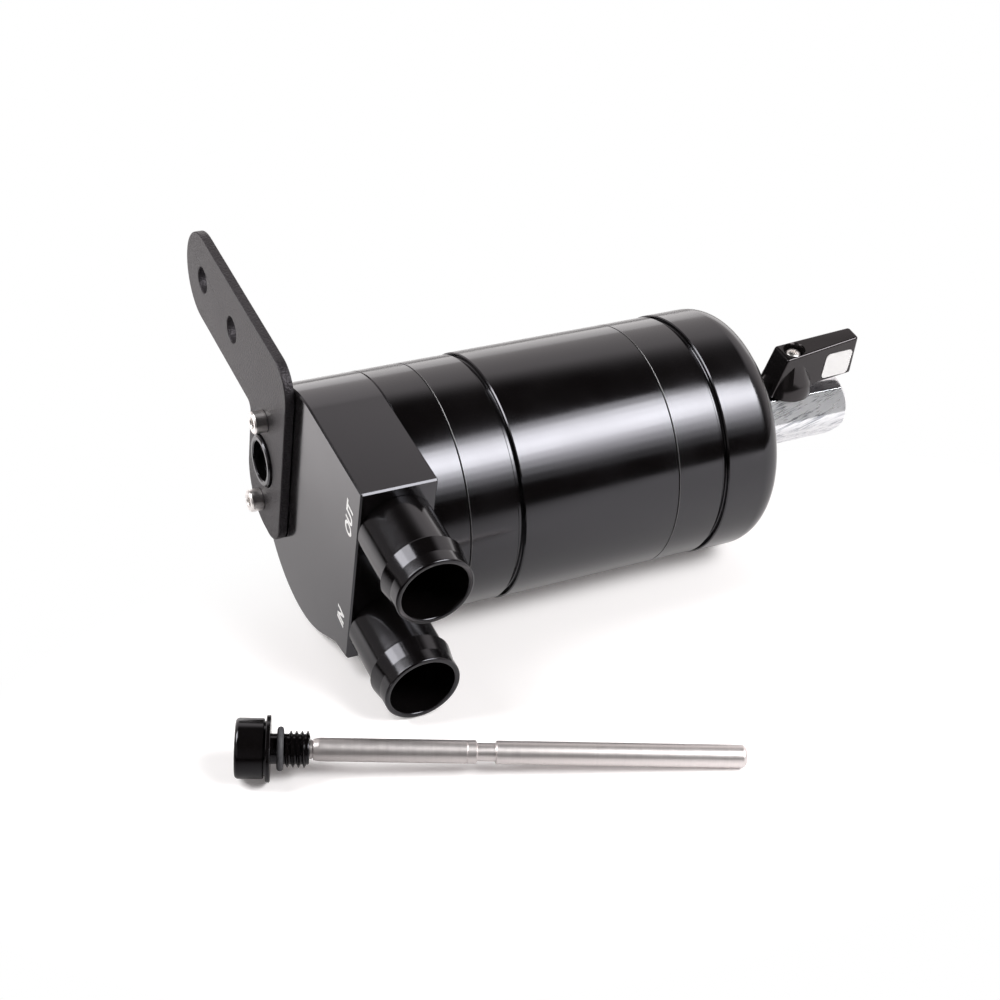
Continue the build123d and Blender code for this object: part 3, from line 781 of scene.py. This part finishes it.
for corner in hex_corners:
    middle = corner + along * hex_len / 2 * mm
    choose(valve, "EDGE", lambda spot: (spot - middle).length < touching)
    size, segments = (3.0, 10) if corner is hex_corners[0] else (0.1, 2)
    bpy.ops.mesh.bevel(offset=size * mm, segments=segments, affect="EDGES")
bpy.ops.object.mode_set(mode="OBJECT")
bar_ends = [(149.4, 0), (149.4, 8.66), (152.0, 11.44), (185.6, 11.44), (188.6, 8.3), (188.6, 0)]
work(valve, turned("bar_ends", can_start, along, upward, bar_ends, 120), "INTERSECT")
valve_neck = [(137.0, 0), (137.0, 4.86), (146.3, 4.86), (146.3, 7.2, 0.3), (150.5, 7.2), (150.5, 0)]
work(valve, turned("valve_neck", can_start, along, upward, valve_neck), "UNION")
valve_bore = [(136, 0), (136, 2.6), (161.5, 2.6), (161.5, 5.6), (189, 5.6), (189, 0)]
work(valve, turned("valve_bore", can_start, along, upward, valve_bore, 96))
stem_foot = on_can(stem_x, 0, 0)
stem_hole = [(0, 0), (0, 2.55), (12, 2.55), (12, 0)]
work(valve, turned("stem_hole", stem_foot, upward, along, stem_hole, 64))
finish(valve, plated_brass, "can", "plated_brass", "valve_body", crease=30)
paint(plated_brass, "valve_end_nut", "valve_ball", "valve_stem")


# Valve seats
# Two turned rings of white plastic with a waxy mottle. They hold the ball between them in the
# valve's bore and seal it.
seat_plastic, start = blank("white seat plastic")
wax = start.noise(600, 2.0)
start.surface({
    "Base Color": wax.blend((0.74, 0.73, 0.7), (0.84, 0.83, 0.81)),
    "Roughness": 0.36 + 0.12 * wax,
})
paint(seat_plastic, "valve_seats")


# Lever
# A moulded black plastic lever: a blade that thins towards its end, on a coned hub with a bore and a
# counterbore. It is pushed on the valve's stem and turns with it.
lever_plastic, start = blank("moulded black plastic")
spark = start.noise(3800, 2.0)
flow = start.noise(90, 2.0)
start.surface({
    "Base Color": flow.blend((0.0035, 0.003, 0.003), (0.0075, 0.0065, 0.0065)),
    "Roughness": 0.12 + 0.07 * spark + 0.06 * flow,
    "Specular Tint": (1.0, 0.93, 0.97, 1),
    "Normal": spark.relief(0.08, 0.02),
})
blade_back = -4.7
blade_tip = 22.7
blade_half = 4.3
tip_half = 3.0
blank_half = 6
blade_taper = (blade_half - tip_half) / (blade_tip - blade_back)
blade = [(blade_back, 24.4), (blade_tip, 27.4), (23.4, 12.9), (8.8, 11.8), (8.8, 9.9), (-8.3, 9.9)]
lever = outlined("drain_lever", [on_can(stem_x + l, -blank_half, z) for l, z in blade])
thicken(front * 2 * blank_half * mm)
for side in (-1, 1):
    bpy.ops.mesh.select_all(action="SELECT")
    bpy.ops.mesh.bisect(
        plane_co=on_can(stem_x + blade_back, side * blade_half, 0),
        plane_no=(front * side + along * blade_taper).normalized(),
        use_fill=True,
        clear_outer=True,
    )
blade_end = on_can(stem_x + 23.05, 0, 20.15)
choose(lever, "EDGE", lambda spot: 2.0 * mm < (spot - blade_end).length < 3.6 * mm)
bpy.ops.mesh.bevel(offset=1.0 * mm, segments=6, affect="EDGES")
bpy.ops.object.mode_set(mode="OBJECT")
soften(lever, 0.75, 4, 30)
counterbore = 22.0
hub_section = [(9.8, 0), (9.8, 8.5, 0.3), (12.8, 8.5, 2.0), (counterbore, 3.8), (counterbore, 0)]
work(lever, turned("hub", stem_foot, upward, along, hub_section, 96), "UNION")
lever_bore = [
    (9, 0),
    (9, 2.52),
    (19.5, 2.52),
    (19.5, 1.55),
    (counterbore, 1.55),
    (counterbore, 3.5),
    (24.2, 3.5),
    (29.0, 3.9),
    (29.0, 0),
]
work(lever, turned("lever_bore", stem_foot, upward, along, lever_bore, 72))
finish(lever, lever_plastic, "lever", "lever_plastic", "valve_handle", crease=32)


# Lever screw
# A small stainless pan-head screw with a pressed cross recess. It sits in the lever's counterbore
# and holds the lever on the stem.
lever_screw_section = [
    (-6, 0),
    (-6, 1.5),
    (0, 1.5),
    (0, 2.6, 0.15),
    (1.4, 2.6, 0.5),
    (2.2, 1.5, 0.8),
    (2.25, 0),
]
lever_screw_seat = stem_foot + upward * counterbore * mm
lever_screw = turned("lever_screw", lever_screw_seat, upward, along, lever_screw_section, 64)
slot_half = 0.34
slot_reach = 1.35
slot_top = 2.5
slot_depth = 1.2
slot_middle = lever_screw_seat + upward * slot_top * mm
slot_floor = slot_middle - upward * slot_depth * mm
cross = []
for out, side in ((along, front), (front, -along), (-along, -front), (-front, along)):
    cross += [
        slot_middle + (out * slot_reach - side * slot_half) * mm,
        slot_middle + (out * slot_reach + side * slot_half) * mm,
        slot_middle + (out + side) * slot_half * mm,
    ]
recess = outlined("recess", cross)
thicken(-upward * slot_depth * mm)
choose(recess, "FACE", lambda spot: (spot - slot_floor).length < 0.05 * mm)
bpy.ops.transform.resize(value=(0.55, 0.55, 0.55), center_override=slot_floor)
bpy.ops.object.mode_set(mode="OBJECT")
work(lever_screw, recess)
finish(lever_screw, stainless, "lever", "stainless_steel", "handle_screw")


# Lever label
# A plain square of white vinyl with round corners and a faint fibrous tooth. It is stuck to the
# front side of the lever's blade.
label_vinyl, start = blank("white vinyl label")
fibre = start.noise(1800, 2.0)
start.surface({
    "Base Color": fibre.blend((0.755, 0.745, 0.74), (0.805, 0.795, 0.79)),
    "Roughness": 0.42 + 0.14 * fibre,
    "Normal": fibre.relief(0.08, 0.02),
})
label_corners = [(11.0, 13.55), (21.45, 13.55), (21.45, 23.05), (11.0, 23.05)]
label_spots = [
    on_can(stem_x + l, blade_half - blade_taper * (l - blade_back), z) for l, z in label_corners
]
label = outlined("lever_label", label_spots)
for spot in label_spots:
    round_corner(label, spot, 1.5)
thicken(front * 0.2 * mm)
bpy.ops.object.mode_set(mode="OBJECT")
finish(label, label_vinyl, "lever", "label_white", "handle_label")


# Studio
# A white table that fades into a white surround. The key light is a tall softbox high to the front
# right, brightest in its middle. Two smaller softboxes stand to the left and a low panel behind, and
# the black pieces mirror pale walls at the back and on the left.
black = (0, 0, 0)
warm_white = (1, 0.94, 0.93)


def ray_kinds(start):
    """Whether a ray comes straight from the camera, and whether it was mirrored or let through."""
    camera_ray = start.add("LightPath", {}, {}, "Is Camera Ray")
    kinds = camera_ray.socket.node.outputs
    glossy = Tone(start.tree, kinds["Is Glossy Ray"])
    return camera_ray, glossy.larger(Tone(start.tree, kinds["Is Transmission Ray"]))


bpy.ops.object.select_all(action="DESELECT")
bpy.ops.mesh.primitive_circle_add(vertices=96, radius=6.0, fill_type="NGON", location=(0, 0, 0))
table = bpy.context.object
table.name = "table"
table_white, start = blank("white table")
camera_ray, mirrored = ray_kinds(start)
spot = start.add("TexCoord", {}, {}, "Object")
oval = {"Vector": spot, "Location": (-0.06, 0.6, 0), "Scale": (1 / 0.15, 1 / 0.085, 0)}
reach = start.add("VectorMath", {"operation": "LENGTH"}, {0: start.add("Mapping", {}, oval)}, "Value")
# In mirrored rays the table is painted: painted shade darkens it toward the front left, and a painted
# glow brightens it on the left, as seen in the black pieces' reflections.
lit = 1 - mirrored * (1 - start.along((1.286, 1, 0)).between(-0.3, -0.05))
leftward = start.along((-1, 0, 0)).between(0.08, 0.15)
lift = 0.12 * camera_ray + mirrored * lit * (0.12 + 0.5 * leftward)
near = start.add("BsdfPrincipled", {}, {
    "Base Color": (lit * (0.78 + 0.2 * camera_ray)).blend(black, (1, 0.98, 0.978)),
    "Roughness": 1.0,
    "Specular IOR Level": 0.0,
    "Emission Color": lift.blend(black, warm_white),
    "Emission Strength": 1.0,
})
white = start.add("Emission", {}, {"Color": (1, 1, 1, 1)})
far = camera_ray * reach.between(0.75, 1.4)
start.add("OutputMaterial", {}, {"Surface": start.add("MixShader", {}, {0: far, 1: near, 2: white})})
table.data.materials.append(table_white)


def softbox(name, azimuth, elevation, distance, size, radiance):
    """A lamp with a flat face of a size in metres, turned to the object."""
    turn, rise = math.radians(azimuth), math.radians(elevation)
    way = Vector((math.sin(turn) * math.cos(rise), math.cos(turn) * math.cos(rise), math.sin(rise)))
    bpy.ops.object.light_add(type="AREA", location=way * distance + Vector((0.02, 0, 0.03)))
    lamp = bpy.context.object
    lamp.name = name
    lamp.rotation_euler = way.to_track_quat("Z", "Y").to_euler()
    lamp.data.shape = "RECTANGLE"
    lamp.data.size, lamp.data.size_y = size
    lamp.data.energy = radiance * math.pi * size[0] * size[1]


key_azimuth = 147
key_distance = 1.3
key_width = 0.7
key_strips = [
    (55, 60, 4.6),
    (50.5, 55, 12.0),
    (46, 50.5, 16.0),
    (41, 46, 18.0),
    (36.5, 41, 15.5),
    (31.5, 36.5, 8.5),
    (26, 31.5, 4.4),
    (20.5, 26, 1.7),
    (14.5, 20.5, 0.45),
]
for low, high, radiance in key_strips:
    key_size = (key_width, 2 * key_distance * math.tan(math.radians(high - low) / 2))
    softbox("key_softbox", key_azimuth, (low + high) / 2, key_distance, key_size, radiance)
for name, elevation, radiance in (("left_softbox_low", 36, 10.5), ("left_softbox_high", 54, 7.5)):
    softbox(name, -76, elevation, 0.75, (0.35, 0.235), radiance)
softbox("back_panel", 35, 9, 2.5, (3.0, 0.9), 0.75)
room = bpy.data.worlds.new("room")
bpy.context.scene.world = room
room.use_nodes = True
room.node_tree.nodes.clear()
start = Tone(room.node_tree)
camera_ray, mirrored = ray_kinds(start)
way = start.add("SeparateXYZ", {}, {0: start.add("TexCoord", {}, {}, "Generated")})
x, y, z = [Tone(start.tree, socket) for socket in way.socket.node.outputs]
ground = 1 - z * z
behind = (0.6 * x + 0.8 * y) / (ground.maths("SQRT", ground) + 0.001)
back_wall = behind.between(-0.1, 0.75) * (1 - z.between(0.7, 0.88))
left_wall = (0 - x).between(0.2, 0.9) * (1 - z.between(0.5, 0.8)) * 0.35
seen = camera_ray + mirrored * back_wall.larger(left_wall)
glow = seen + (1 - camera_ray.larger(mirrored)) * (0.08 + 0.25 * back_wall)
walls = glow.blend(black, warm_white)
sky = start.add("Background", {}, {"Color": camera_ray.blend(walls, (1, 1, 1))})
start.add("OutputWorld", {}, {"Surface": sky})
bpy.context.scene.view_settings.view_transform = "Standard"


# Camera
# It stands in front of the head and to its left, and looks down across the can towards the drain
# valve, as in the photograph.
bpy.ops.object.camera_add()
camera = bpy.context.object
camera.data.sensor_width = 36
camera.data.lens = 66.77
camera.data.clip_start = 0.01
ahead = Vector((0.393699, 0.775438, -0.493657))
right = Vector((0.897825, -0.439615, 0.025480))
camera_spot = Vector((-0.234486, -0.436311, 0.313399))
camera.matrix_world = standing(camera_spot, right, right.cross(ahead), -ahead)
bpy.context.scene.camera = camera
